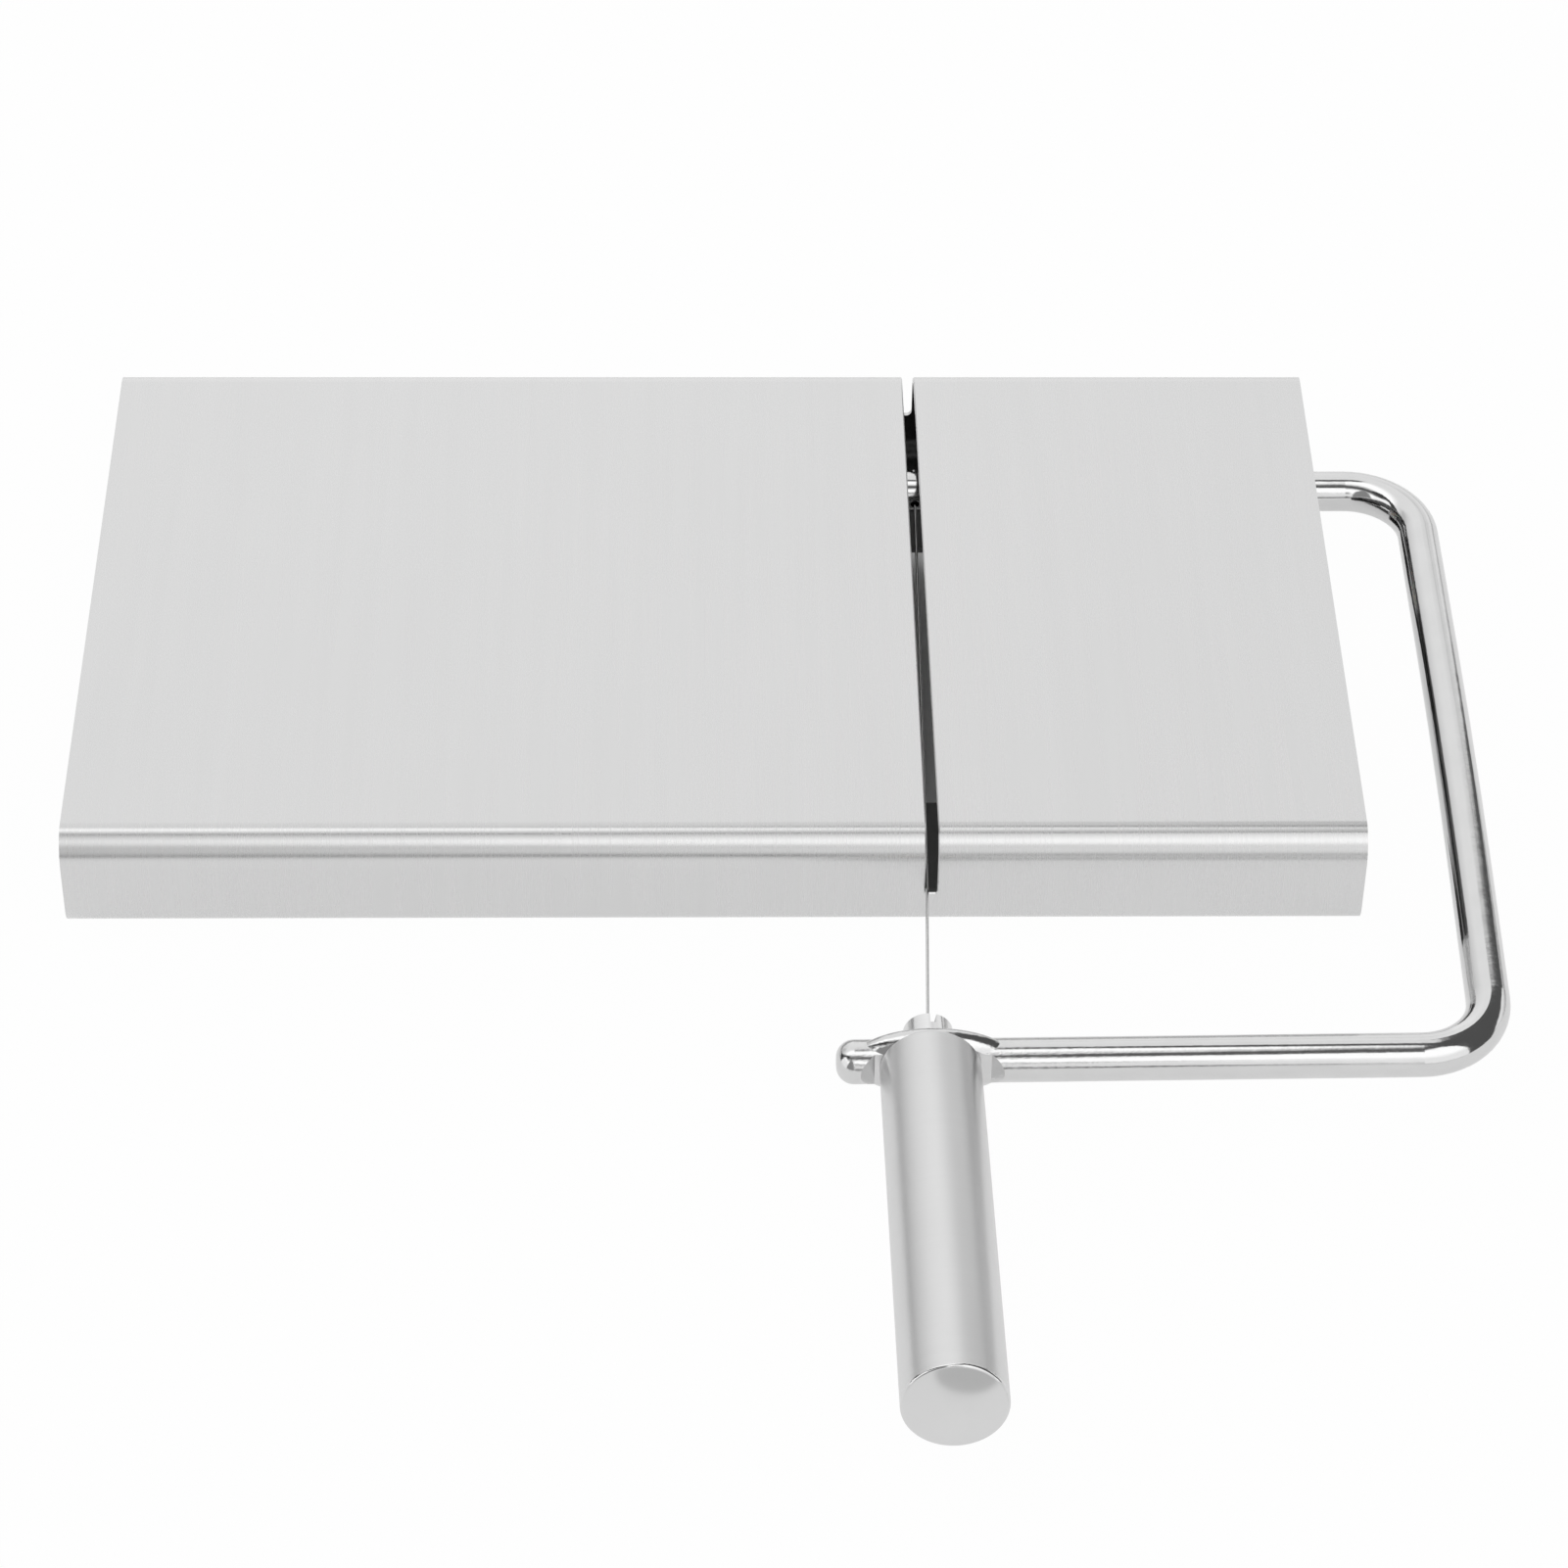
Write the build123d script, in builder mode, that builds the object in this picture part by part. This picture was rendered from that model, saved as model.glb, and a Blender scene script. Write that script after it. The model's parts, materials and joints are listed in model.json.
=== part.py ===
"""Wire butter slicer: a folded steel board with a cutting slot, and a hinged arm that pulls a wire through it.

Frame: millimetres, +Z up. The origin is on the table under the middle of the whole slicer. +X runs to the
right along the board, and -Y points to the user and the handle.
"""
from build123d import *
import math
import os

os.makedirs("parts", exist_ok=True)

# Board: one sheet folded down at the front and the rear, with a flange turned in under each wall
board_length = 210.0
board_width = 125.0
board_height = 18.9
sheet = 1.0
bend_radius = 4.0
flange_width = 29.0

# The front top bend starts tight under the top, and opens out towards the wall
front_crown_radius = 3.5
front_crown_angle = 36.0
front_wall_bend_radius = 6.5

# Cutting slot across the board, open down the front wall and the rear wall
slot_offset = 34.9
slot_width = 2.0
front_slot_floor = 7.6
rear_slot_floor = 9.0
slot_corner_radius = 0.3
slot_edge_break = 0.2

# Rubber feet, pushed up into the flanges
foot_diameter = 12.0
foot_height = 3.0
foot_edge_round = 0.8
foot_stem_diameter = 5.0
foot_barb_diameter = 7.2
foot_barb_height = 2.2
foot_barb_tip = 4.0
foot_inset = 14.0
foot_hole_clearance = 0.05

# Hinge brackets under the board, with a nylon bush in each
bracket_sheet = 1.2
bracket_width = 14.0
bracket_tab_length = 11.0
bracket_bend_radius = 1.8
bracket_corner_radius = 5.5
bracket_end_inset = 9.0
bracket_slot_distance = 13.0
bracket_below_axis = 6.4
bush_wall = 0.83
bush_running_clearance = 0.07
bush_flange_diameter = 10.8
bush_flange_thickness = 1.0
bush_tail_length = 2.0
bush_tab_gap = 1.1
bush_press_clearance = 0.02

# Arm: one bent rod with a flattened eye for the handle
rod_diameter = 7.0
hinge_inset = 25.7
arm_side_gap = 14.66
arm_bend_radius = 12.0
eye_reach = 38.55
eye_left_of_slot = 1.6
eye_height_above_board_base = 8.0
side_run_toe_in = 1.45
side_run_turn_distance = 70.0
side_run_turn_radius = 2500.0
front_run_skew = 0.785
rod_stub_length = 14.65
rod_tip_round = 2.8
rod_end_past_ring = 2.5
rod_end_chamfer = 0.5

# Flattened eye
eye_thickness = 4.0
eye_pad_length = 25.4
eye_pad_height = 12.1
eye_pad_depth = 6.4
eye_pad_slices = (-0.9, -0.7, -0.4, 0.0, 0.4, 0.7, 0.9)
eye_flat_length = 18.2
eye_press_length = 22.4
eye_hole_offset = 0.4

# Retaining rings on the hinge run
ring_thickness = 0.8
ring_groove_diameter = 5.8
ring_side_gap = 0.2
ring_fit = 0.02
ring_mouth = 4.6

# Tension screw through the eye, hollow for the wire
handle_tilt = 6.1
handle_skew = 0.386
screw_diameter = 5.0
screw_head_diameter = 7.9
screw_head_length = 4.8
screw_head_chamfer = 0.15
screw_head_gap = 0.3
screw_length = 26.0
screw_running_clearance = 0.08
screw_slot_width = 1.05
screw_slot_depth = 2.2
screw_slot_angle = -11.0
screw_bore_diameter = 1.1

# Cutting wire with a crimped ferrule at each end
wire_diameter = 0.5
wire_side_gap = 0.1
wire_lean_in_bore = -0.1
wire_bend_radius = 4.0
wire_hole_diameter = 1.5
ferrule_diameter = 2.1
ferrule_length = 2.5
ferrule_edge_round = 0.3
ferrule_seat_gap = 0.1
ferrule_seat_depth = 1.2
ferrule_pocket_clearance = 0.25
ferrule_crimp_clearance = 0.01
wire_tail = 0.4

# Handle that turns on the screw
handle_diameter = 15.9
handle_length = 75.9
handle_wall = 1.2
handle_end_wall = 2.0
handle_face_gap = 0.15
handle_edge_round = 0.45
insert_length = 14.0
insert_press_clearance = 0.02

# Sizes and places that follow from those above
rod_radius = rod_diameter / 2
rod_yaw = math.radians(front_run_skew)
handle_yaw = math.radians(handle_skew)
tilt = math.radians(handle_tilt)
side_run_offset = board_length / 2 + arm_side_gap + rod_radius
board_x = (board_length / 2 - side_run_offset - rod_radius) / 2
handle_start = eye_thickness / 2 + handle_face_gap
handle_tip = handle_start + handle_length
end_disc_lean = math.hypot(math.sin(tilt) * math.cos(handle_yaw), math.sin(handle_yaw))
front_reach = (
    eye_reach
    + (handle_tip - handle_edge_round) * math.cos(tilt) * math.cos(handle_yaw)
    + (handle_diameter / 2 - handle_edge_round) * end_disc_lean
    + handle_edge_round
)
board_front_y = (front_reach - board_width) / 2
board_rear_y = board_front_y + board_width
board_base_z = foot_height
board_top_z = board_base_z + board_height
top_underside_z = board_top_z - sheet
slot_x = board_x + slot_offset

# Centres of the board's bends, as places in its section
crown_turn = math.radians(front_crown_angle)
wall_bend_y = board_front_y + front_wall_bend_radius
crown_y = wall_bend_y - (front_wall_bend_radius - front_crown_radius) * math.sin(crown_turn)
crown_z = board_top_z - front_crown_radius
wall_bend_z = crown_z - (front_wall_bend_radius - front_crown_radius) * math.cos(crown_turn)
front_fold_y = board_front_y + bend_radius
rear_fold_y = board_rear_y - bend_radius
low_fold_z = board_base_z + bend_radius

# Sizes and places along the hinge, the eye and the screw
bush_bore_radius = rod_radius + bush_running_clearance
bush_radius = bush_bore_radius + bush_wall
hinge_y = board_rear_y - hinge_inset
hinge_z = top_underside_z - bracket_sheet - bush_tab_gap - bush_radius
screw_mouth = eye_thickness / 2 + screw_head_gap + screw_head_length
wire_entry = screw_mouth - screw_slot_depth
wire_offset = slot_width / 2 - wire_diameter / 2 - wire_side_gap

eye_x = slot_x - eye_left_of_slot
eye_y = board_front_y - eye_reach
eye_z = board_base_z + eye_height_above_board_base
side_run_x = board_x + side_run_offset
front_corner_x = side_run_x - side_run_toe_in
front_corner_y = eye_y + (front_corner_x - eye_x) * math.tan(rod_yaw)
side_run_turn_share = side_run_turn_distance / (hinge_y - front_corner_y)
side_run_turn_z = hinge_z + (eye_z - hinge_z) * side_run_turn_share
tip_x = eye_x - rod_stub_length
tip_y = eye_y - rod_stub_length * math.tan(rod_yaw)

# The handle plane: its origin is the middle of the eye, x along the rod, y up and z along the handle
handle_plane = Plane(
    origin=(eye_x, eye_y, eye_z),
    x_dir=(math.cos(handle_yaw), math.sin(handle_yaw), 0),
    z_dir=(math.sin(handle_yaw) * math.cos(tilt), -math.cos(handle_yaw) * math.cos(tilt), math.sin(tilt)),
)
hinge_plane = Plane(origin=(0, hinge_y, hinge_z), x_dir=(0, 1, 0), z_dir=(1, 0, 0))
press_plane = Plane(origin=handle_plane.origin, x_dir=handle_plane.x_dir, z_dir=handle_plane.y_dir)

# The wire runs from one side of the slot at the hinge to the other side at the front wall. There it leans on the
# slot's edge, and it turns a little on its way to the screw
wire_pivot = Vector(slot_x + wire_offset, hinge_y, hinge_z)
wire_bend_point = handle_plane.from_local_coords(Vector(wire_lean_in_bore, 0, -wire_entry))
front_wall_share = (hinge_y - board_front_y) / (hinge_y - wire_bend_point.Y)
wire_front_wall_z = hinge_z + (wire_bend_point.Z - hinge_z) * front_wall_share
wire_lean_point = Vector(slot_x - wire_offset, board_front_y, wire_front_wall_z)

# The wire plane: its origin is the wire's crossing of the hinge axis, and z points back along the wire
wire_back = (wire_pivot - wire_lean_point).normalized()
wire_plane = Plane(origin=wire_pivot, x_dir=(1, 0, 0), z_dir=wire_back)
rear_seat = rod_radius - ferrule_seat_depth
ferrule_pocket_diameter = ferrule_diameter + 2 * ferrule_pocket_clearance
front_seat = screw_length - ferrule_length - ferrule_seat_depth

# Places along the hinge run
inner_ear_x = slot_x - bracket_slot_distance
outer_ear_x = board_x + board_length / 2 - bracket_end_inset
inner_bush_left = inner_ear_x - bracket_sheet - bush_tail_length
inner_bush_right = inner_ear_x + bush_flange_thickness
left_ring_x = inner_bush_left - ring_side_gap - ring_thickness
right_ring_x = inner_bush_right + ring_side_gap
rod_end_x = left_ring_x - rod_end_past_ring


def save(part, name):
    """Label a finished piece and write it under its own name."""
    part.label = name
    export_step(part, f"parts/{name}.step")


# Board shell
with BuildPart() as board_shell:
    with BuildSketch(Plane.YZ.offset(board_x)):
        with BuildLine():
            crown = CenterArc((crown_y, crown_z), front_crown_radius, 90, front_crown_angle)
            wall_bend = CenterArc((wall_bend_y, wall_bend_z), front_wall_bend_radius, 90 + front_crown_angle,
                                  90 - front_crown_angle)
            front_fold = CenterArc((front_fold_y, low_fold_z), bend_radius, 180, 90)
            rear_fold = CenterArc((rear_fold_y, low_fold_z), bend_radius, 270, 90)
            rear_bend = CenterArc((rear_fold_y, board_top_z - bend_radius), bend_radius, 0, 90)
            Line(wall_bend @ 1, front_fold @ 0)
            Line(front_fold @ 1, rear_fold @ 0)
            Line(rear_fold @ 1, rear_bend @ 0)
            Line(rear_bend @ 1, crown @ 0)
        make_face()
        offset(amount=-sheet, mode=Mode.SUBTRACT)
        with Locations((board_front_y + board_width / 2, board_base_z)):
            Rectangle(board_width - 2 * flange_width, 2 * bend_radius, mode=Mode.SUBTRACT)
    extrude(amount=board_length / 2, both=True)
    # Front length of the slot: square floor with small corners
    with BuildSketch(Plane.XZ.offset(-board_front_y)) as front_slot:
        with Locations((slot_x, board_base_z + front_slot_floor + board_height / 2)):
            Rectangle(slot_width, board_height)
        fillet(front_slot.vertices().group_by(Axis.Z)[0], radius=slot_corner_radius)
    extrude(amount=-board_width / 2, mode=Mode.SUBTRACT)
    # Rear length of the slot: round floor
    with BuildSketch(Plane.XZ.offset(-board_rear_y)):
        with Locations((slot_x, board_base_z + rear_slot_floor + slot_width / 2)):
            Circle(slot_width / 2)
        with Locations((slot_x, board_base_z + rear_slot_floor + slot_width / 2 + board_height / 2)):
            Rectangle(slot_width, board_height)
    extrude(amount=board_width / 2 + slot_width, mode=Mode.SUBTRACT)
    # Broken edges along the top of the slot
    slot_edges = (
        board_shell.edges()
        .filter_by(Axis.Y)
        .filter_by_position(Axis.Z, board_top_z - sheet / 4, board_top_z + sheet / 4)
        .filter_by_position(Axis.X, slot_x - slot_width, slot_x + slot_width)
    )
    chamfer(slot_edges, length=slot_edge_break)
    # Holes for the feet
    with BuildSketch(Plane.XY.offset(board_base_z)):
        with Locations((board_x, board_front_y + board_width / 2)):
            with GridLocations(board_length - 2 * foot_inset, board_width - 2 * foot_inset, 2, 2):
                Circle(foot_stem_diameter / 2 + foot_hole_clearance)
    extrude(amount=sheet, mode=Mode.SUBTRACT)
save(board_shell.part, "board_shell")


def foot(centre_x, centre_y):
    """A rubber foot: a pad on the table, a stem through the flange and a barb above it."""
    with BuildPart() as rubber_foot:
        with BuildSketch(Plane.XZ.offset(-centre_y)):
            with BuildLine():
                Polyline(
                    (centre_x, 0),
                    (centre_x + foot_diameter / 2, 0),
                    (centre_x + foot_diameter / 2, foot_height),
                    (centre_x + foot_stem_diameter / 2, foot_height),
                    (centre_x + foot_stem_diameter / 2, foot_height + sheet),
                    (centre_x + foot_barb_diameter / 2, foot_height + sheet),
                    (centre_x + foot_barb_tip / 2, foot_height + sheet + foot_barb_height),
                    (centre_x, foot_height + sheet + foot_barb_height),
                    close=True,
                )
            make_face()
        revolve(axis=Axis((centre_x, centre_y, 0), (0, 0, 1)))
        fillet(rubber_foot.edges().filter_by(GeomType.CIRCLE).group_by(Axis.Z)[0], radius=foot_edge_round)
    return rubber_foot.part


foot_span_x = board_length / 2 - foot_inset
foot_front_y = board_front_y + foot_inset
foot_rear_y = board_rear_y - foot_inset
foot_places = {
    "foot_front_left": (board_x - foot_span_x, foot_front_y),
    "foot_front_right": (board_x + foot_span_x, foot_front_y),
    "foot_rear_left": (board_x - foot_span_x, foot_rear_y),
    "foot_rear_right": (board_x + foot_span_x, foot_rear_y),
}
for foot_name, (foot_x, foot_y) in foot_places.items():
    save(foot(foot_x, foot_y), foot_name)


def hinge_bracket(ear_x):
    """An angle of sheet: a tab welded under the board, and an ear with the bush hole. Its ear faces +X."""
    with BuildPart() as bracket:
        with BuildSketch(Plane.XZ.offset(-hinge_y)):
            with BuildLine() as angle:
                Polyline(
                    (ear_x, hinge_z - bracket_below_axis),
                    (ear_x, top_underside_z),
                    (ear_x - bracket_tab_length, top_underside_z),
                    (ear_x - bracket_tab_length, top_underside_z - bracket_sheet),
                    (ear_x - bracket_sheet, top_underside_z - bracket_sheet),
                    (ear_x - bracket_sheet, hinge_z - bracket_below_axis),
                    close=True,
                )
            make_face()
        extrude(amount=bracket_width / 2, both=True)
        outer_bend = bracket.edges().filter_by(Axis.Y).group_by(Axis.Z)[-1].sort_by(Axis.X)[-1]
        fillet(outer_bend, radius=bracket_bend_radius)
        ear_corners = bracket.edges().filter_by(Axis.X).group_by(Axis.Z)[0]
        fillet(ear_corners, radius=bracket_corner_radius)
        with BuildSketch(hinge_plane.offset(ear_x)):
            Circle(bush_radius + bush_press_clearance)
        extrude(amount=-bracket_sheet, mode=Mode.SUBTRACT)
    return bracket.part


def rod_bush(ear_x):
    """A flanged bush pressed through the ear, with its flange on the ear's +X face."""
    with BuildPart() as bush:
        with BuildSketch(hinge_plane.offset(ear_x)):
            Circle(bush_flange_diameter / 2)
        extrude(amount=bush_flange_thickness)
        with BuildSketch(hinge_plane.offset(ear_x)):
            Circle(bush_radius)
        extrude(amount=-(bracket_sheet + bush_tail_length))
        with BuildSketch(hinge_plane.offset(ear_x + bush_flange_thickness)):
            Circle(bush_bore_radius)
        extrude(amount=-(bush_flange_thickness + bracket_sheet + bush_tail_length), mode=Mode.SUBTRACT)
    return bush.part


for side, ear_place in (("inner", inner_ear_x), ("outer", outer_ear_x)):
    save(hinge_bracket(ear_place), f"hinge_bracket_{side}")
    save(rod_bush(ear_place), f"rod_bush_{side}")


def eye_pad():
    """The metal that spreads when the eye is pressed: it bulges above and below the rod."""
    with BuildPart() as pad:
        for share in eye_pad_slices:
            along = eye_hole_offset + share * eye_pad_length / 2
            slice_size = math.sqrt(1 - share ** 2) / 2
            slice_plane = Plane(
                origin=handle_plane.from_local_coords(Vector(along, 0, 0)),
                x_dir=handle_plane.y_dir,
                z_dir=handle_plane.x_dir,
            )
            with BuildSketch(slice_plane):
                Ellipse(eye_pad_height * slice_size, eye_pad_depth * slice_size)
        loft()
    return pad.part


# Arm rod: its side run leaves the hinge square, and turns in a little halfway to the front corner
press_depth = rod_radius - eye_thickness / 2
press_slope = (eye_press_length - eye_flat_length) / 2
with BuildPart() as arm_rod:
    with BuildLine() as arm_path:
        FilletPolyline(
            (rod_end_x, hinge_y, hinge_z),
            (side_run_x, hinge_y, hinge_z),
            (side_run_x, hinge_y - side_run_turn_distance, side_run_turn_z),
            (front_corner_x, front_corner_y, eye_z),
            (tip_x, tip_y, eye_z),
            radius=(arm_bend_radius, side_run_turn_radius, arm_bend_radius),
        )
    with BuildSketch(Plane(origin=(rod_end_x, hinge_y, hinge_z), z_dir=(1, 0, 0))):
        Circle(rod_radius)
    sweep()
    fillet(arm_rod.edges().filter_by(GeomType.CIRCLE).sort_by(Axis.Y)[0], radius=rod_tip_round)
    chamfer(arm_rod.edges().filter_by(GeomType.CIRCLE).group_by(Axis.Y)[-1].sort_by(Axis.X)[0],
            length=rod_end_chamfer)
    # Flattened eye: the metal spreads up and down, and both faces are pressed flat, with a slope at each end
    add(eye_pad())
    for side in (-1, 1):
        with BuildSketch(press_plane):
            with Locations((eye_hole_offset, 0)):
                Polygon(
                    (-eye_flat_length / 2, side * eye_thickness / 2),
                    (eye_flat_length / 2, side * eye_thickness / 2),
                    (eye_flat_length / 2 + 2 * press_slope, side * (eye_thickness / 2 + 2 * press_depth)),
                    (-eye_flat_length / 2 - 2 * press_slope, side * (eye_thickness / 2 + 2 * press_depth)),
                    align=None,
                )
        extrude(amount=rod_diameter, both=True, mode=Mode.SUBTRACT)
    with BuildSketch(handle_plane):
        Circle(screw_diameter / 2 + screw_running_clearance)
    extrude(amount=eye_thickness, both=True, mode=Mode.SUBTRACT)
    # Cross hole for the wire, with a flat seat at its rear end
    with BuildSketch(wire_plane):
        Circle(wire_hole_diameter / 2)
    extrude(amount=rod_diameter, both=True, mode=Mode.SUBTRACT)
    with BuildSketch(wire_plane.offset(rear_seat)):
        Circle(ferrule_pocket_diameter / 2)
    extrude(amount=rod_diameter, mode=Mode.SUBTRACT)
    # Grooves for the retaining rings
    for ring_x in (left_ring_x, right_ring_x):
        with BuildSketch(hinge_plane.offset(ring_x)):
            Circle(rod_diameter)
            Circle(ring_groove_diameter / 2, mode=Mode.SUBTRACT)
        extrude(amount=ring_thickness, mode=Mode.SUBTRACT)
save(arm_rod.part, "arm_rod")


def retaining_ring(ring_x):
    """An open ring of spring steel in its groove, with the mouth pointing down."""
    with BuildPart() as ring:
        with BuildSketch(hinge_plane.offset(ring_x + ring_fit)):
            Circle(bush_radius)
            Circle(ring_groove_diameter / 2 + ring_fit, mode=Mode.SUBTRACT)
            with Locations((0, -bush_radius)):
                Rectangle(ring_mouth, 2 * bush_radius, mode=Mode.SUBTRACT)
        extrude(amount=ring_thickness - 2 * ring_fit)
    return ring.part


for side, ring_place in (("left", left_ring_x), ("right", right_ring_x)):
    save(retaining_ring(ring_place), f"retaining_ring_{side}")

# Tension screw
with BuildPart() as tension_screw:
    with BuildSketch(handle_plane.offset(-screw_mouth)):
        Circle(screw_head_diameter / 2)
    extrude(amount=screw_head_length)
    chamfer(tension_screw.edges().filter_by(GeomType.CIRCLE).sort_by(Axis.Y)[-1], length=screw_head_chamfer)
    with BuildSketch(handle_plane.offset(-screw_mouth + screw_head_length)):
        Circle(screw_diameter / 2)
    extrude(amount=screw_length + screw_mouth - screw_head_length)
    with BuildSketch(handle_plane.offset(-screw_mouth)):
        Rectangle(screw_slot_width, 2 * screw_head_diameter, rotation=screw_slot_angle)
    extrude(amount=screw_slot_depth, mode=Mode.SUBTRACT)
    with BuildSketch(handle_plane.offset(-screw_mouth)):
        Circle(screw_bore_diameter / 2)
    extrude(amount=screw_mouth + screw_length, mode=Mode.SUBTRACT)
    with BuildSketch(handle_plane.offset(front_seat)):
        Circle(ferrule_pocket_diameter / 2)
    extrude(amount=screw_length - front_seat, mode=Mode.SUBTRACT)
save(tension_screw.part, "tension_screw")


def ferrule(seat_plane):
    """A crimped sleeve whose flat end faces its seat and whose bore grips the wire."""
    with BuildPart() as sleeve:
        with BuildSketch(seat_plane.offset(ferrule_seat_gap)):
            Circle(ferrule_diameter / 2)
            Circle(wire_diameter / 2 + ferrule_crimp_clearance, mode=Mode.SUBTRACT)
        extrude(amount=ferrule_length)
        outer_edges = sleeve.edges().filter_by(GeomType.CIRCLE).filter_by(
            lambda edge: edge.radius > ferrule_diameter / 4)
        fillet(outer_edges, radius=ferrule_edge_round)
    return sleeve.part


save(ferrule(wire_plane.offset(rear_seat)), "wire_end_rear")
save(ferrule(handle_plane.offset(front_seat)), "wire_end_front")

# Cutting wire: straight through the slot, then a slight turn at its edge and a bend into the screw's bore
wire_rear_tip = wire_plane.from_local_coords(
    Vector(0, 0, rear_seat + ferrule_seat_gap + ferrule_length + wire_tail))
wire_front_tip = handle_plane.from_local_coords(
    Vector(0, 0, front_seat + ferrule_seat_gap + ferrule_length + wire_tail))
with BuildPart() as cutting_wire:
    with BuildLine() as wire_path:
        FilletPolyline(wire_rear_tip, wire_lean_point, wire_bend_point, wire_front_tip, radius=wire_bend_radius)
    with BuildSketch(Plane(origin=wire_rear_tip, z_dir=-wire_back)):
        Circle(wire_diameter / 2)
    sweep()
save(cutting_wire.part, "cutting_wire")

# Handle sleeve: a tube closed at its outer end
with BuildPart() as handle_sleeve:
    with BuildSketch(handle_plane.offset(handle_start)):
        Circle(handle_diameter / 2)
    extrude(amount=handle_length)
    fillet(handle_sleeve.edges().filter_by(GeomType.CIRCLE), radius=handle_edge_round)
    with BuildSketch(handle_plane.offset(handle_start)):
        Circle(handle_diameter / 2 - handle_wall)
    extrude(amount=handle_length - handle_end_wall, mode=Mode.SUBTRACT)
save(handle_sleeve.part, "handle_sleeve")

# Threaded insert, drawn with a plain bore
with BuildPart() as handle_insert:
    with BuildSketch(handle_plane.offset(handle_start)):
        Circle(handle_diameter / 2 - handle_wall - insert_press_clearance)
        Circle(screw_diameter / 2 + screw_running_clearance, mode=Mode.SUBTRACT)
    extrude(amount=insert_length)
save(handle_insert.part, "handle_insert")

wire_gap = wire_front_wall_z - wire_diameter / 2 - board_base_z - front_slot_floor
print(f"gap from the wire down to the front slot floor {wire_gap:.2f} mm")
print(f"eye at x {eye_x:.2f}, y {eye_y:.2f}, z {eye_z:.2f}; hinge at y {hinge_y:.2f}, z {hinge_z:.2f}")
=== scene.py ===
# %% [markdown]
# Wire butter slicer, dressed in steel
#
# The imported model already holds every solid: a folded steel board with a slot, a bent rod arm on two hinge
# brackets, a tension screw, a cutting wire and a round handle. This script gives each of them the finish
# that the real one has, sets them on a white table in a light tent, and places the camera where the
# photographer stood. Nearly all of the object is bare steel. Bare steel has no colour of its own: its looks
# are its grain, and the tent that it mirrors. So most cells below are about those two.

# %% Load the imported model
import bpy
import bmesh
import json
import math
from mathutils import Matrix, Vector

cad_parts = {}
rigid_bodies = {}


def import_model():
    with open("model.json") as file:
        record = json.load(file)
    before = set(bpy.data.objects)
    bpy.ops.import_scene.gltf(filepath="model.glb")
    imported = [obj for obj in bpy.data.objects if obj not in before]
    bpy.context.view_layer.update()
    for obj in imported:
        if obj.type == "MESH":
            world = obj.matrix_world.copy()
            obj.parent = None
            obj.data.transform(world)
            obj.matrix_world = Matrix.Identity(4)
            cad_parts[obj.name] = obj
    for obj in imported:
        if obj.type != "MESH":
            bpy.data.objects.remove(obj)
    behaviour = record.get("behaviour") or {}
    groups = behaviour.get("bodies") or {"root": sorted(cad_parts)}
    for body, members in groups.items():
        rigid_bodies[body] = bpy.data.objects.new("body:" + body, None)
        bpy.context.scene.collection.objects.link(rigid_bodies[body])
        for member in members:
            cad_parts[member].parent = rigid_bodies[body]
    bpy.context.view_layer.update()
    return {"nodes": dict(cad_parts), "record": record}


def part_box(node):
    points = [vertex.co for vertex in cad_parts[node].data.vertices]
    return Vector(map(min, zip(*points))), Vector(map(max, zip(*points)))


for leftover in list(bpy.data.objects):
    bpy.data.objects.remove(leftover)
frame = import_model()
nodes = frame["nodes"]
MM = 0.001
MICRON = 0.000001

# %% [markdown]
# The camera
#
# The board's edges run together towards the back only slightly, so the photograph was taken with a long
# lens from about 0.8 m away, looking down at 42 degrees. Turn and roll are about one degree each: nobody
# levels a product shot perfectly, and copying both puts every edge where the photograph has it.

# %% Camera
camera_place = (-0.014297, -0.581028, 0.554056)
camera_lens = 112.66
camera_pitch = math.radians(42.0)
camera_turn = math.radians(1.424)
camera_roll = math.radians(0.865)

camera = bpy.data.objects.new("camera", bpy.data.cameras.new("camera"))
camera.data.lens = camera_lens
camera.data.clip_start = 0.05
camera.matrix_world = (
    Matrix.Translation(camera_place)
    @ Matrix.Rotation(-camera_turn, 4, "Z")
    @ Matrix.Rotation(math.pi / 2 - camera_pitch, 4, "X")
    @ Matrix.Rotation(camera_roll, 4, "Z")
)
bpy.context.scene.collection.objects.link(camera)
bpy.context.scene.camera = camera
bpy.context.scene.view_settings.view_transform = "Standard"
print("camera", [round(c, 3) for c in camera_place], "lens", camera_lens)

# %% [markdown]
# Helpers for node materials
#
# Each finish is a small tree of nodes. A few helpers keep the trees short: one makes an empty material with
# its shader, one makes a noise on stretched coordinates, one turns a noise into a range of values, some do
# sums, and one makes a bump. A value that is even all over a surface is written on the shader's own socket,
# where an exporter finds it.


# %% Node helpers
def add(tree, kind, inputs=None, **settings):
    """A node of a kind, with its settings, and its inputs either set or linked."""
    node = tree.nodes.new(kind)
    for key, value in settings.items():
        setattr(node, key, value)
    for key, value in (inputs or {}).items():
        if isinstance(value, bpy.types.NodeSocket):
            tree.links.new(value, node.inputs[key])
        else:
            node.inputs[key].default_value = value
    return node


def new_finish(name, base, metallic, roughness):
    """A material with one shader, whose even values are on the shader's own sockets."""
    finish = bpy.data.materials.new(name)
    finish.use_nodes = True
    tree = finish.node_tree
    tree.nodes.clear()
    shader = add(tree, "ShaderNodeBsdfPrincipled", {
        "Base Color": (*base, 1), "Metallic": metallic, "Roughness": roughness})
    add(tree, "ShaderNodeOutputMaterial", {"Surface": shader.outputs["BSDF"]})
    return finish, tree, shader


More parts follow.
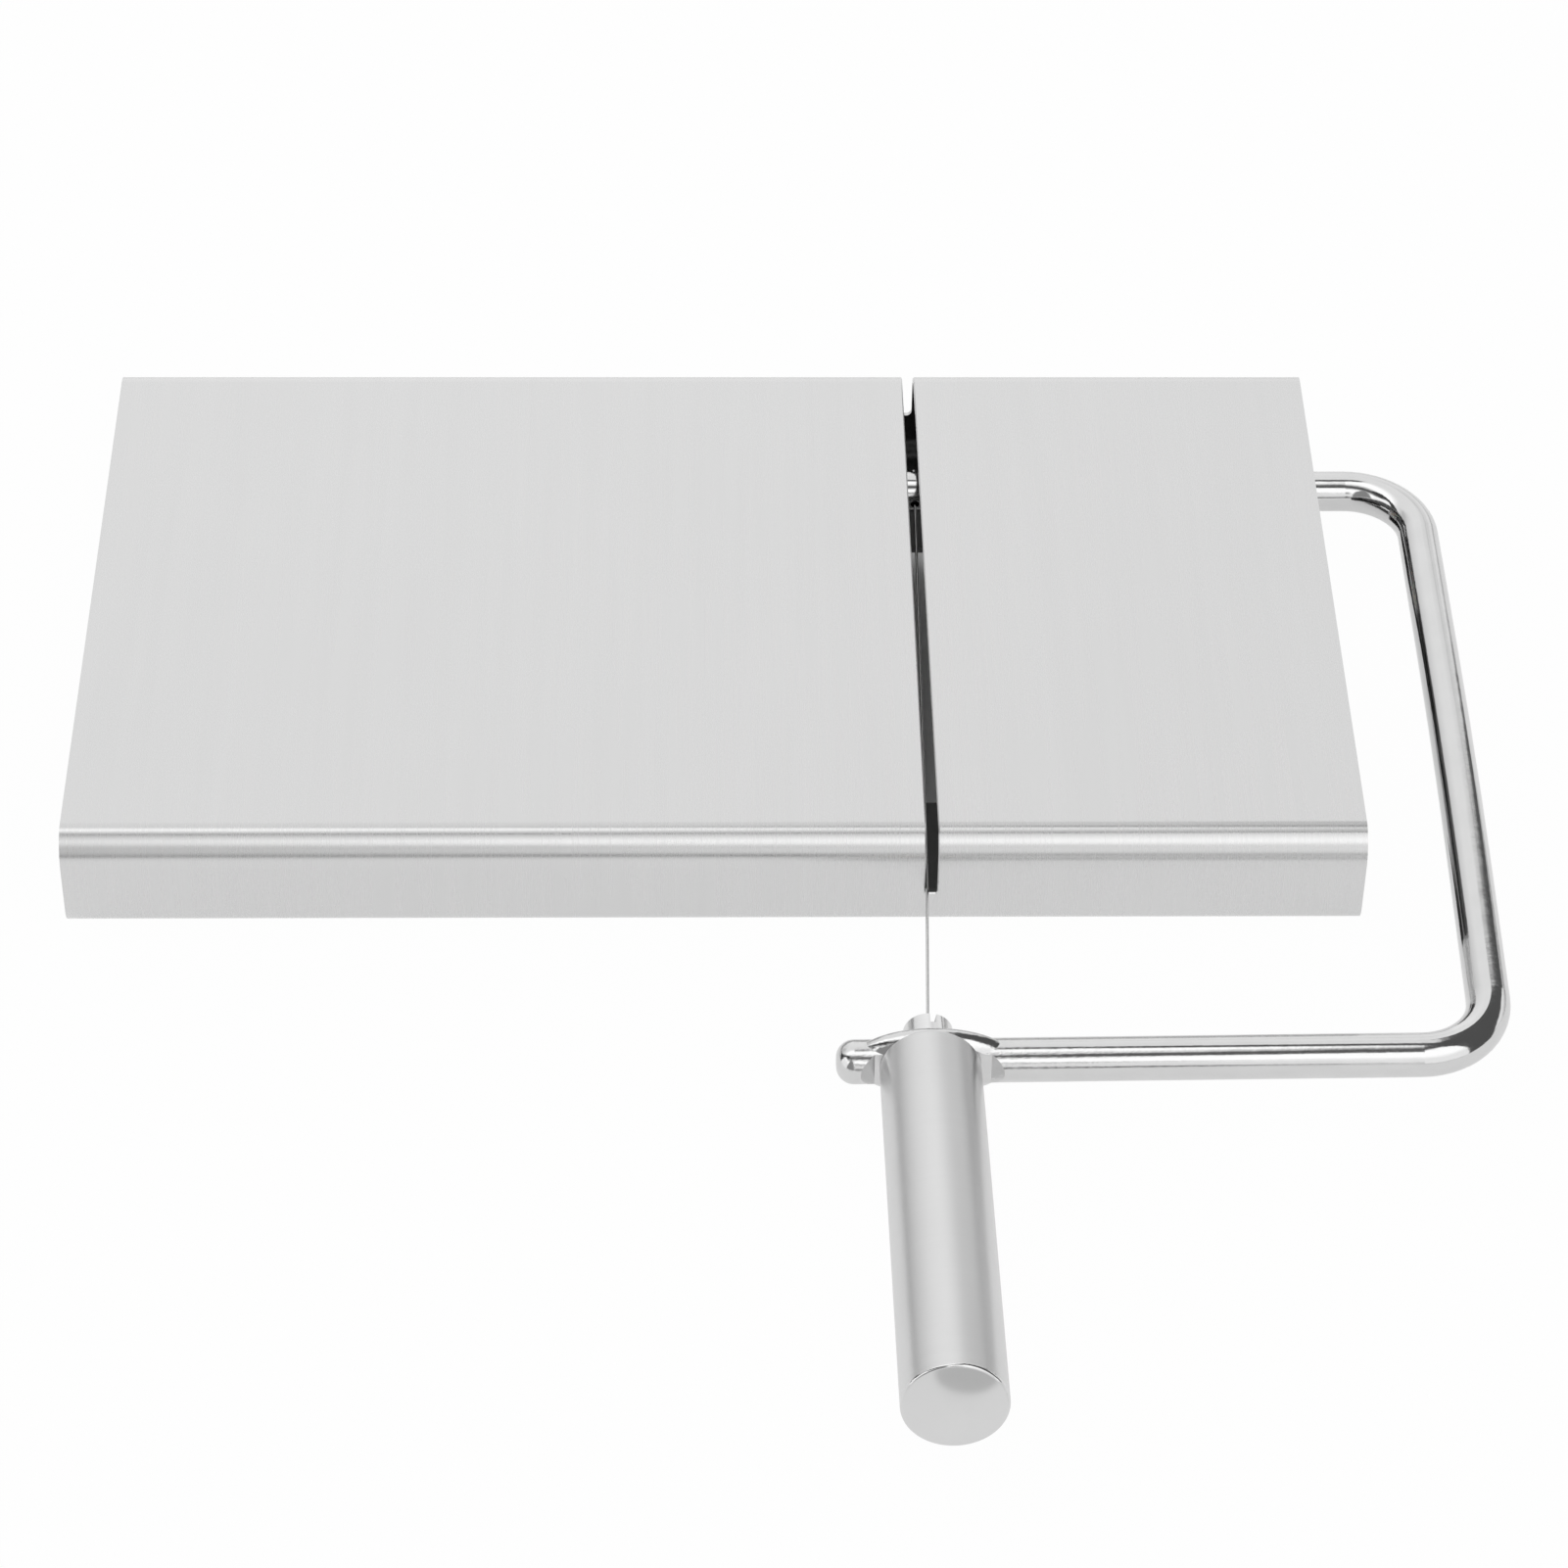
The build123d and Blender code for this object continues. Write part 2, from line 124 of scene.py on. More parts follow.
def object_place(tree, origin=(0, 0, 0), turn=(0, 0, 0)):
    """Object coordinates, read from an origin and along axes that are turned with the piece."""
    plain = add(tree, "ShaderNodeTexCoord").outputs["Object"]
    moved = add(tree, "ShaderNodeMapping", {"Vector": plain, "Location": origin, "Rotation": turn},
                vector_type="TEXTURE")
    return moved.outputs["Vector"]


def grain(tree, place, per_metre, detail=2.0, roughness=0.5):
    """Noise on coordinates that are scaled by so many waves per metre along X, Y and Z."""
    stretched = add(tree, "ShaderNodeMapping", {"Vector": place, "Scale": per_metre})
    noise = add(tree, "ShaderNodeTexNoise", {
        "Vector": stretched.outputs["Vector"], "Scale": 1.0, "Detail": detail, "Roughness": roughness})
    return noise.outputs["Fac"]


def spread(tree, value, low, high, start=0.3, end=0.7):
    """The value from start to end, mapped to low to high."""
    node = add(tree, "ShaderNodeMapRange", {
        "Value": value, "From Min": start, "From Max": end, "To Min": low, "To Max": high})
    return node.outputs["Result"]


def combine(tree, operation, first, second):
    """One sum, product or the like of two values."""
    node = add(tree, "ShaderNodeMath", {0: first, 1: second}, operation=operation)
    return node.outputs["Value"]


def product(tree, *values):
    """All of the values multiplied."""
    result = values[0]
    for value in values[1:]:
        result = combine(tree, "MULTIPLY", result, value)
    return result


def vector_maths(tree, operation, first, second=(0, 0, 0), output="Vector"):
    """One sum, product, distance or the like of two vectors."""
    node = add(tree, "ShaderNodeVectorMath", {0: first, 1: second}, operation=operation)
    return node.outputs[output]


def between(tree, factor, first, second):
    """A value from the first to the second as the factor goes from 0 to 1."""
    node = add(tree, "ShaderNodeMix", {"Factor": factor, "A": first, "B": second}, data_type="FLOAT")
    return node.outputs["Result"]


def grey(tree, value):
    """A neutral colour of that value."""
    node = add(tree, "ShaderNodeCombineColor", {"Red": value, "Green": value, "Blue": value})
    return node.outputs["Color"]


def tinted(tree, factor, dark, light):
    """A colour between a dark and a light one."""
    node = add(tree, "ShaderNodeMix", {"Factor": factor, "A": (*dark, 1), "B": (*light, 1)}, data_type="RGBA")
    return node.outputs["Result"]


def relief(tree, shader, height, depth):
    """Bumps the shader's surface by the height times the depth, which is in metres."""
    bump = add(tree, "ShaderNodeBump", {"Strength": 1.0, "Distance": depth, "Height": height})
    tree.links.new(bump.outputs["Normal"], shader.inputs["Normal"])


def brush_direction(tree, shader, axis, amount):
    """Spreads reflections across grain that runs in circles round the axis."""
    quarter_turn = 0.25
    tangent = add(tree, "ShaderNodeTangent", direction_type="RADIAL", axis=axis)
    tree.links.new(tangent.outputs["Tangent"], shader.inputs["Tangent"])
    shader.inputs["Anisotropic"].default_value = amount
    shader.inputs["Anisotropic Rotation"].default_value = quarter_turn


def lathe_place(tree, place):
    """The distance from the Y axis as X, and the place along it as Y, for marks that a lathe leaves."""
    axes = add(tree, "ShaderNodeSeparateXYZ", {"Vector": place}).outputs
    flat = add(tree, "ShaderNodeCombineXYZ", {"X": axes["X"], "Z": axes["Z"]}).outputs["Vector"]
    from_axis = vector_maths(tree, "LENGTH", flat, output="Value")
    return add(tree, "ShaderNodeCombineXYZ", {"X": from_axis, "Y": axes["Y"]}).outputs["Vector"]


def wear(finish, *names):
    """Gives the finish to CAD solids."""
    for name in names:
        nodes[name].material_slots[0].material = finish
    print(finish.name, "on", ", ".join(names))


# %% [markdown]
# Brushed steel of the board
#
# The sheet was brushed from front to back before it was folded, so its grain also runs round the front
# bend. Grain spreads a reflection across itself: the bright lines along the bend stay sharp, and are only
# broken into fine upright streaks. In Cycles that is an anisotropic shader with the tangent along X, where
# the surface is rougher. The streaks are noise with 0.4 mm waves across the grain and 30 mm waves along it.
# Larger, very faint clouds are the marks of hands and of the polishing wheel. The inside of the folded
# sheet was never brushed, so it is duller. Its colour is also made much darker there: painted shade for
# the little light that gets in. Faces whose normal points at the line through the board's middle are the
# inner ones, so a dot product makes their mask.

# %% Board finish
board_steel, tree, shader = new_finish("brushed_board", (0.73, 0.73, 0.73), 1.0, 0.27)
place = object_place(tree)
brush_direction(tree, shader, "X", 0.75)
fine = grain(tree, place, (2600, 30, 30), detail=3)
broad = grain(tree, place, (420, 14, 14), detail=2)
clouds = grain(tree, place, (26, 34, 34), detail=3, roughness=0.55)
tone = combine(tree, "ADD", spread(tree, fine, -0.006, 0.006), spread(tree, broad, -0.005, 0.005))
tone = combine(tree, "ADD", tone, spread(tree, clouds, 0.722, 0.738))

# %% Inside of the board, with painted shade
INNER_PAINTED_SHADE = 0.35
INNER_ROUGHNESS = 0.2
middle = [(low + high) / 2 for low, high in zip(*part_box("board_shell"))]
to_middle = vector_maths(tree, "SUBTRACT", middle, place)
across = vector_maths(tree, "MULTIPLY", to_middle, (0, 1, 1))
outwards = add(tree, "ShaderNodeTexCoord").outputs["Normal"]
facing = vector_maths(tree, "DOT_PRODUCT", across, outwards, output="Value")
inner = spread(tree, facing, 0.0, 1.0, 0.5 * MM, 1.0 * MM)
# Painted shade: the inner faces' colour is multiplied down, for the little light that gets inside the board.
tone = product(tree, tone, spread(tree, inner, 1.0, INNER_PAINTED_SHADE, 0.0, 1.0))
tree.links.new(grey(tree, tone), shader.inputs["Base Color"])
rough = combine(tree, "ADD", spread(tree, fine, 0.25, 0.29), spread(tree, clouds, -0.015, 0.015))
rough = combine(tree, "ADD", rough, spread(tree, inner, 0.0, INNER_ROUGHNESS, 0.0, 1.0))
tree.links.new(rough, shader.inputs["Roughness"])
relief(tree, shader, fine, 3 * MICRON)
wear(board_steel, "board_shell")

# %% [markdown]
# Polished rod
#
# The arm is drawn rod, buffed bright, so it mirrors the tent sharply: a white box above, the dark gap
# beside it, and the table below. Drawing leaves fine lengthwise lines, and buffing leaves small specks that
# fray the edges of those bands. Pressing the eye has roughened the rod on both sides of it, where the bands
# break up into a mottled grey. All of it is one bump map, whose specks are five times as deep at the eye as
# they are further along.

# %% Rod finish
joints = {joint["name"]: joint for joint in frame["record"]["behaviour"]["joints"]}
eye_place = joints["handle_turn"]["pos_m"]

SWELL_DEPTH = 22 * MICRON
SPECK_HEIGHT = 3.0
rod_steel, tree, shader = new_finish("polished_rod", (0.72, 0.72, 0.72), 1.0, 0.1)
place = object_place(tree)
specks = grain(tree, place, (1300, 2400, 2400), detail=4, roughness=0.62)
swells = grain(tree, place, (170, 170, 420), detail=2)
from_eye = vector_maths(tree, "DISTANCE", place, eye_place, output="Value")
roughed = spread(tree, from_eye, 0.4, 0.08, 11 * MM, 34 * MM)
tree.links.new(spread(tree, specks, 0.06, 0.12), shader.inputs["Roughness"])
tree.links.new(grey(tree, spread(tree, swells, 0.705, 0.735)), shader.inputs["Base Color"])
height = combine(tree, "ADD", product(tree, specks, roughed, SPECK_HEIGHT), swells)
relief(tree, shader, height, SWELL_DEPTH)
wear(rod_steel, "arm_rod")

# %% [markdown]
# Brushed handle
#
# The handle is a tube that was turned against a fine belt, so its grain runs round it. That smears a
# reflection along the handle more than across it: soft bands from end to end, crossed by very faint rings.
# The rings belong to the handle, which leans up by 6 degrees, so they are drawn in coordinates that lean
# with it. The joint that the handle turns on gives that direction. The end face and its rounded rim were
# faced on a lathe and are smoother, so they mirror the table clearly. A mask on the distance along the
# handle tells them apart.

# %% Handle finish
handle_way = Vector(joints["handle_turn"]["axis"])
handle_lean = (-math.asin(handle_way.z), 0, math.atan2(handle_way.x, -handle_way.y))
print("handle leans up by", round(math.degrees(-handle_lean[0]), 2), "degrees")

handle_steel, tree, shader = new_finish("brushed_handle", (0.73, 0.73, 0.73), 1.0, 0.28)
place = object_place(tree, eye_place, handle_lean)
brush_direction(tree, shader, "Y", 0.4)
rings = grain(tree, place, (25, 4200, 25), detail=2)
wide_rings = grain(tree, place, (12, 600, 12), detail=2)
clouds = grain(tree, place, (160, 60, 160), detail=3)
tone = combine(tree, "ADD", spread(tree, rings, -0.005, 0.005), spread(tree, wide_rings, -0.004, 0.004))
tone = combine(tree, "ADD", tone, spread(tree, clouds, 0.735, 0.755))
tree.links.new(grey(tree, tone), shader.inputs["Base Color"])

# %% Faced end of the handle
FACED_SMOOTHER = 0.24
corners = nodes["handle_sleeve"].data.vertices
reach = max((corner.co - Vector(eye_place)).dot(handle_way) for corner in corners)
along = add(tree, "ShaderNodeSeparateXYZ", {"Vector": place}).outputs["Y"]
faced = spread(tree, along, FACED_SMOOTHER, 0.0, 0.3 * MM - reach, 0.6 * MM - reach)
rough = combine(tree, "SUBTRACT", spread(tree, rings, 0.3, 0.34), faced)
tree.links.new(rough, shader.inputs["Roughness"])
relief(tree, shader, rings, 1.2 * MICRON)
wear(handle_steel, "handle_sleeve")
print("faced end", round(reach / MM, 1), "mm from the eye")

# %% [markdown]
# Tension screw
#
# The screw's head is turned and bright. The tool that faced it leaves fine rings round its axis, which is
# the handle's axis. Noise on the distance from that axis makes such rings, and they also run along the side
# of the head.

# %% Screw finish
screw_steel, tree, shader = new_finish("turned_screw", (0.79, 0.79, 0.79), 1.0, 0.1)
place = object_place(tree, eye_place, handle_lean)
tool_rings = grain(tree, lathe_place(tree, place), (9000, 9000, 1), detail=2)
smudges = grain(tree, place, (500, 500, 500), detail=3)
tree.links.new(spread(tree, smudges, 0.07, 0.13), shader.inputs["Roughness"])
tree.links.new(grey(tree, spread(tree, tool_rings, 0.775, 0.81)), shader.inputs["Base Color"])
relief(tree, shader, tool_rings, 2 * MICRON)
wear(screw_steel, "tension_screw")

# %% [markdown]
# Cutting wire and its ferrules
#
# The wire is drawn stainless steel, half a millimetre thick, with lines along it. Each end is held in a
# crimped sleeve of softer steel, dulled by the pliers: small dents, and darker in the dents.

# %% Wire and ferrule finish
wire_steel, tree, shader = new_finish("drawn_wire", (0.74, 0.74, 0.74), 1.0, 0.22)
place = object_place(tree)
lines = grain(tree, place, (9000, 160, 9000), detail=2)
tree.links.new(spread(tree, lines, 0.17, 0.27), shader.inputs["Roughness"])
tree.links.new(grey(tree, spread(tree, lines, 0.70, 0.78)), shader.inputs["Base Color"])
relief(tree, shader, lines, 2 * MICRON)
wear(wire_steel, "cutting_wire")

ferrule_steel, tree, shader = new_finish("crimped_ferrule", (0.62, 0.62, 0.62), 1.0, 0.32)
place = object_place(tree)
dents = grain(tree, place, (1700, 1700, 1700), detail=2)
tree.links.new(spread(tree, dents, 0.42, 0.27), shader.inputs["Roughness"])
tree.links.new(grey(tree, spread(tree, dents, 0.45, 0.66)), shader.inputs["Base Color"])
relief(tree, shader, dents, 60 * MICRON)
wear(ferrule_steel, "wire_end_rear", "wire_end_front")

# %% [markdown]
# Hinge brackets and retaining rings
#
# Nobody polishes what sits under the board. The brackets are sheet as it came from the mill: a little
# darker, cloudy, with a faint rolling grain. The rings are spring steel, dark from their heat treatment
# with a touch of brown where the colour ran.

# %% Bracket and ring finish
bracket_steel, tree, shader = new_finish("bracket_sheet", (0.55, 0.55, 0.55), 1.0, 0.36)
place = object_place(tree)
mill_clouds = grain(tree, place, (180, 240, 240), detail=4, roughness=0.6)
rolling = grain(tree, place, (60, 2600, 60), detail=2)
tone = combine(tree, "ADD", spread(tree, mill_clouds, 0.49, 0.58), spread(tree, rolling, -0.015, 0.015))
tree.links.new(grey(tree, tone), shader.inputs["Base Color"])
tree.links.new(spread(tree, mill_clouds, 0.44, 0.31), shader.inputs["Roughness"])
relief(tree, shader, rolling, 5 * MICRON)
wear(bracket_steel, "hinge_bracket_inner", "hinge_bracket_outer")

ring_steel, tree, shader = new_finish("ring_steel", (0.3, 0.29, 0.28), 1.0, 0.36)
place = object_place(tree)
heat = grain(tree, place, (420, 420, 420), detail=3)
tree.links.new(tinted(tree, spread(tree, heat, 0, 1), (0.22, 0.2, 0.18), (0.36, 0.35, 0.35)),
               shader.inputs["Base Color"])
tree.links.new(spread(tree, heat, 0.45, 0.3), shader.inputs["Roughness"])
relief(tree, shader, heat, 10 * MICRON)
wear(ring_steel, "retaining_ring_left", "retaining_ring_right")

# %% [markdown]
# Bushes, feet and the handle's insert
#
# The bushes are moulded nylon: off-white, a little see-through, with the soft orange-peel skin of a mould.
# The feet are black rubber with a matt, very finely grained skin that picks up pale dust. The insert is
# free-cutting brass, and what shows of it is its faced end, with rings from the lathe.

# %% Nylon, rubber and brass finish
nylon, tree, shader = new_finish("moulded_nylon", (0.78, 0.77, 0.72), 0.0, 0.42)
shader.inputs["Subsurface Weight"].default_value = 0.15
shader.inputs["Subsurface Scale"].default_value = 0.002
place = object_place(tree)
peel = grain(tree, place, (1500, 1500, 1500), detail=2)
ageing = grain(tree, place, (200, 200, 200), detail=2)
tree.links.new(tinted(tree, spread(tree, ageing, 0, 1), (0.74, 0.72, 0.65), (0.82, 0.81, 0.77)),
               shader.inputs["Base Color"])
tree.links.new(spread(tree, peel, 0.36, 0.48), shader.inputs["Roughness"])
relief(tree, shader, peel, 20 * MICRON)
wear(nylon, "rod_bush_inner", "rod_bush_outer")

rubber, tree, shader = new_finish("foot_rubber", (0.03, 0.03, 0.03), 0.0, 0.62)
place = object_place(tree)
skin = grain(tree, place, (3200, 3200, 3200), detail=2)
dust = grain(tree, place, (260, 260, 420), detail=4, roughness=0.65)
tree.links.new(grey(tree, spread(tree, dust, 0.022, 0.055, 0.4, 0.75)), shader.inputs["Base Color"])
tree.links.new(spread(tree, skin, 0.54, 0.72), shader.inputs["Roughness"])
relief(tree, shader, skin, 30 * MICRON)
wear(rubber, "foot_front_left", "foot_front_right", "foot_rear_left", "foot_rear_right")

brass, tree, shader = new_finish("turned_brass", (0.75, 0.58, 0.3), 1.0, 0.28)
place = object_place(tree, eye_place, handle_lean)
lathe_rings = grain(tree, lathe_place(tree, place), (5200, 0, 1), detail=2)
tarnish = grain(tree, place, (320, 320, 320), detail=3)
tree.links.new(tinted(tree, spread(tree, tarnish, 0, 1), (0.66, 0.49, 0.24), (0.79, 0.62, 0.33)),
               shader.inputs["Base Color"])
tree.links.new(spread(tree, tarnish, 0.36, 0.22), shader.inputs["Roughness"])
relief(tree, shader, lathe_rings, 6 * MICRON)
wear(brass, "handle_insert")

# %% [markdown]
# The white table
#
# The object stands on white paper. A plain white surface would render a little grey and show where it ends,
# so for camera rays most of its light is its own, and the rest shows the object's shadow. Steel mirrors the
# table too. What it sees gets more of the shadow, and also painted shade that only the steel sees. The
# paper's glow dims in front of the handle, a small round painted shadow lies where the end of the handle
# mirrors it, and the glow fades to dark beyond the arm's rear corner. Under the board a glowing table would
# shine up through the slot, where the photograph is dark. There the glow is faded out inside the board's
# outline.

# %% Floor
TABLE_RADIUS = 0.7
mesh = bpy.data.meshes.new("floor")
shape = bmesh.new()
bmesh.ops.create_circle(shape, cap_ends=True, segments=96, radius=TABLE_RADIUS)
shape.to_mesh(mesh)
shape.free()
floor = bpy.data.objects.new("floor", mesh)
bpy.context.scene.collection.objects.link(floor)
print("table of radius", TABLE_RADIUS, "m")

# %% The paper's own light
CAMERA_GLOW = 0.975
table_white = bpy.data.materials.new("table_white")
table_white.use_nodes = True
tree = table_white.node_tree
tree.nodes.clear()
place = object_place(tree)
axes = add(tree, "ShaderNodeSeparateXYZ", {"Vector": place})
board_low, board_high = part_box("board_shell")


def uncovered(side_inset, front_inset, fade=0.01):
    """One outside the board's outline and zero well inside it, with a soft step between."""
    inside = 1.0
    for axis, inset in (("X", side_inset), ("Y", front_inset)):
        number = "XYZ".index(axis)
        first = board_low[number] + inset
        last = board_high[number] - inset
        past_first = spread(tree, axes.outputs[axis], 0.0, 1.0, first, first + fade)
        before_last = spread(tree, axes.outputs[axis], 1.0, 0.0, last - fade, last)
        inside = product(tree, past_first, before_last, inside)
    return combine(tree, "SUBTRACT", 1.0, inside)


rays = add(tree, "ShaderNodeLightPath")
plain_rays = combine(tree, "MAXIMUM", rays.outputs["Is Camera Ray"], rays.outputs["Is Transmission Ray"])
plain_share = product(tree, plain_rays, CAMERA_GLOW, uncovered(side_inset=0.002, front_inset=0.006))
print("camera sees", CAMERA_GLOW, "of its light from the paper itself")

# %% Painted shade on the paper, which only the steel sees
# Each pair of places, in metres, is where a change begins and where it ends.
BESIDE_ARM = (0.205, 0.235)
BEHIND_ARM = (0.075, 0.1)
SLANT = 1.4
SLANTED_SHADE_EDGE = (0.015, 0.045)
FRONT_SHADE_EDGE = (-0.19, -0.14)
SPOT_PLACE = (0.0273, -0.1538, 0)
SPOT_RIM = (0.0045, 0.0056)

rightwards = axes.outputs["X"]
backwards = axes.outputs["Y"]
# Painted shade on the paper for the steel to mirror: dark beyond the arm's rear corner, dimmer in front of
# the handle, and a small round painted shadow.
past_arm = product(tree, spread(tree, rightwards, 0.0, 1.0, *BESIDE_ARM),
                   spread(tree, backwards, 0.0, 1.0, *BEHIND_ARM))
diagonal = combine(tree, "SUBTRACT", rightwards, product(tree, backwards, SLANT))
rear_right_painted_shade = product(tree, past_arm, spread(tree, diagonal, 0.0, 0.9, *SLANTED_SHADE_EDGE))
front_painted_shade = spread(tree, backwards, 0.2, 0.0, *FRONT_SHADE_EDGE)
from_spot = vector_maths(tree, "DISTANCE", place, SPOT_PLACE, output="Value")
spot = spread(tree, from_spot, 0.5, 0.0, *SPOT_RIM)
dark = combine(tree, "MAXIMUM", combine(tree, "MAXIMUM", rear_right_painted_shade, spot), front_painted_shade)
print("shadow spot of radius", round(SPOT_RIM[0] / MM, 1), "mm, for the end of the handle to mirror")

# %% Table material
MIRROR_GLOW = 0.6
DARK_GLOW = 0.06
mirror_glow = spread(tree, dark, MIRROR_GLOW, 1.0, 0.0, 1.0)
mirror_share = product(tree, rays.outputs["Is Glossy Ray"], mirror_glow,
                       uncovered(side_inset=0.022, front_inset=0.022))
strength = combine(tree, "MAXIMUM", plain_rays, spread(tree, dark, 1.0, DARK_GLOW, 0.0, 1.0))
paper = add(tree, "ShaderNodeBsdfDiffuse", {"Color": (0.92, 0.92, 0.92, 1)})
glow = add(tree, "ShaderNodeEmission", {"Color": (1, 1, 1, 1), "Strength": strength})
share = combine(tree, "MAXIMUM", plain_share, mirror_share)
both = add(tree, "ShaderNodeMixShader", {0: share, 1: paper.outputs["BSDF"], 2: glow.outputs["Emission"]})
add(tree, "ShaderNodeOutputMaterial", {"Surface": both.outputs["Shader"]})
floor.data.materials.append(table_white)
print("steel sees", MIRROR_GLOW, "of its light from the paper itself, and none under the board")

# %% [markdown]
# The light tent
#
# Steel shows its surroundings, so the lights are drawn where the photograph's reflections say they hung.
# Walking round the rod from its lower front to its top gives them in order: the table's far edge is a dark
# line at the horizon, then a tall white panel in front, a dark gap where the camera looked in, and a white
# panel overhead that fades into the tent's back. A colour ramp on the angle round the X axis holds that
# list, and each of its rows below is one of these: the table, its far edge, the panel, the gap, the roof
# and the back. Near the horizon the panel is dimmer than in the photograph, because seen from behind, the
# top plate mirrors it and would burn out to white.

# %% World
world = bpy.data.worlds.new("light_tent")
bpy.context.scene.world = world
world.use_nodes = True
tree = world.node_tree
tree.nodes.clear()
direction = add(tree, "ShaderNodeTexCoord").outputs["Generated"]
axes = add(tree, "ShaderNodeSeparateXYZ", {"Vector": direction})
forwards = combine(tree, "MULTIPLY", axes.outputs["Y"], -1.0)
angle = combine(tree, "ARCTAN2", axes.outputs["Z"], forwards)
turn = spread(tree, angle, 0.0, 1.0, -math.pi, math.pi)
tent = add(tree, "ShaderNodeValToRGB", {"Fac": turn})
TENT = (
    (-180, 0.94), (-12, 0.92),
    (-8, 0.72), (-2, 0.5), (4, 0.5), (9, 0.85),
    (15, 1.08), (26, 1.1), (35, 1.42), (47, 1.5),
    (53, 1.0), (58, 0.3), (62, 0.12), (69, 0.12), (75, 0.7),
    (81, 1.25), (88, 1.45), (98, 1.45), (106, 1.15),
    (114, 0.95), (130, 0.96), (150, 0.98), (180, 0.96),
)
RAMP_TOP = 1.5


def fill_ramp(ramp, stops):
    """Sets the ramp's stops to a list of places and grey values, both from 0 to 1."""
    elements = ramp.color_ramp.elements
    while len(elements) > 1:
        elements.remove(elements[-1])
    for number, (place, value) in enumerate(stops):
        stop = elements[0] if number == 0 else elements.new(place)
        stop.position = place
        stop.color = (value, value, value, 1)


fill_ramp(tent, [((degrees + 180) / 360, level / RAMP_TOP) for degrees, level in TENT])
level = combine(tree, "MULTIPLY", tent.outputs["Color"], RAMP_TOP)
print("tent with", len(TENT), "levels")

# %% [markdown]
# Panels and openings at the sides
#
# The bend and the side run of the arm look to the sides, and see more than that list. A white panel stands
# on each side. Between the panels and the tent's back the tent is open, and the room behind it is dark:
# that draws the black stripes of the side run and the dark patch on the front bend, and it shades the
# flanks of the handle. Each of these is a zone between two lines, and a line is a ramp from the bearing,
# which is 0 in front and 180 behind, to the elevation. All the numbers are degrees. They were found by
# following the photograph's rays to the steel, and from there on to the tent.

# %% Zones of the tent
elevation = combine(tree, "ARCSINE", axes.outputs["Z"], 0.0)
leftwards = combine(tree, "MULTIPLY", axes.outputs["X"], -1.0)


def edge_line(bearing, points):
    """The elevation of a zone's edge, from a list of bearings and elevations in degrees."""
    ramp = add(tree, "ShaderNodeValToRGB", {"Fac": spread(tree, bearing, 0.0, 1.0, 0.0, math.pi)})
    fill_ramp(ramp, [(degrees / 180, (height + 90) / 180) for degrees, height in points])
    return spread(tree, ramp.outputs["Color"], -math.pi / 2, math.pi / 2, 0.0, 1.0)


def zone(level, sideways, lower, upper, light, start=(-2, -1), blur=1.5):
    """Sets the level between a lower and an upper edge to one light, from where it fades in."""
    soft = math.radians(blur)
    bearing = combine(tree, "ARCTAN2", sideways, forwards)
    over = combine(tree, "SUBTRACT", elevation, edge_line(bearing, lower))
    under = combine(tree, "SUBTRACT", edge_line(bearing, upper), elevation)
    begun = spread(tree, bearing, 0.0, 1.0, math.radians(start[0]), math.radians(start[1]))
    inside = product(tree, begun, spread(tree, over, 0.0, 1.0, -soft, soft),
                     spread(tree, under, 0.0, 1.0, -soft, soft))
    return between(tree, inside, level, light)


# %% The tent's back wall
# It is brightest straight behind, and falls off to both sides, sooner to the right.
BACK_MIDDLE = 1.07
rightwards = axes.outputs["X"]
back_shade = add(tree, "ShaderNodeValToRGB", {"Fac": spread(tree, rightwards, 0.0, 1.0, -1.0, 1.0)})
fill_ramp(back_shade, [(0.15, 0.6), (0.2, 0.77), (0.28, 0.88), (0.38, 0.94), (0.5, 1.0),
                       (0.6, 0.9), (0.64, 0.86), (0.72, 0.83), (0.79, 0.78), (0.83, 0.72)])
behind = product(tree, spread(tree, forwards, 1.0, 0.0, -0.5, -0.3),
                 spread(tree, elevation, 1.0, 0.0, math.radians(34), math.radians(42)))
shaded = product(tree, level, back_shade.outputs["Color"], BACK_MIDDLE)
level = between(tree, behind, level, shaded)
print("back wall falls off to both sides")

# %% Darker strips just right of the front
# The panel's lower part is duller there, with one darker strip, and the table's edge is darker.
level = zone(level, rightwards,
             lower=((0, 6), (9, 8)),
             upper=((0, 36), (6, 36), (9, 20)),
             light=0.95)
level = zone(level, rightwards,
             lower=((0, 23), (4, 25), (8, 30)),
             upper=((0, 34), (4, 34), (8, 31)),
             light=0.5)
level = zone(level, rightwards,
             lower=((0, -4), (4, -4), (8.5, 3)),
             upper=((0, 9), (4, 9), (8.5, 4)),
             light=0.2)
print("three strips")

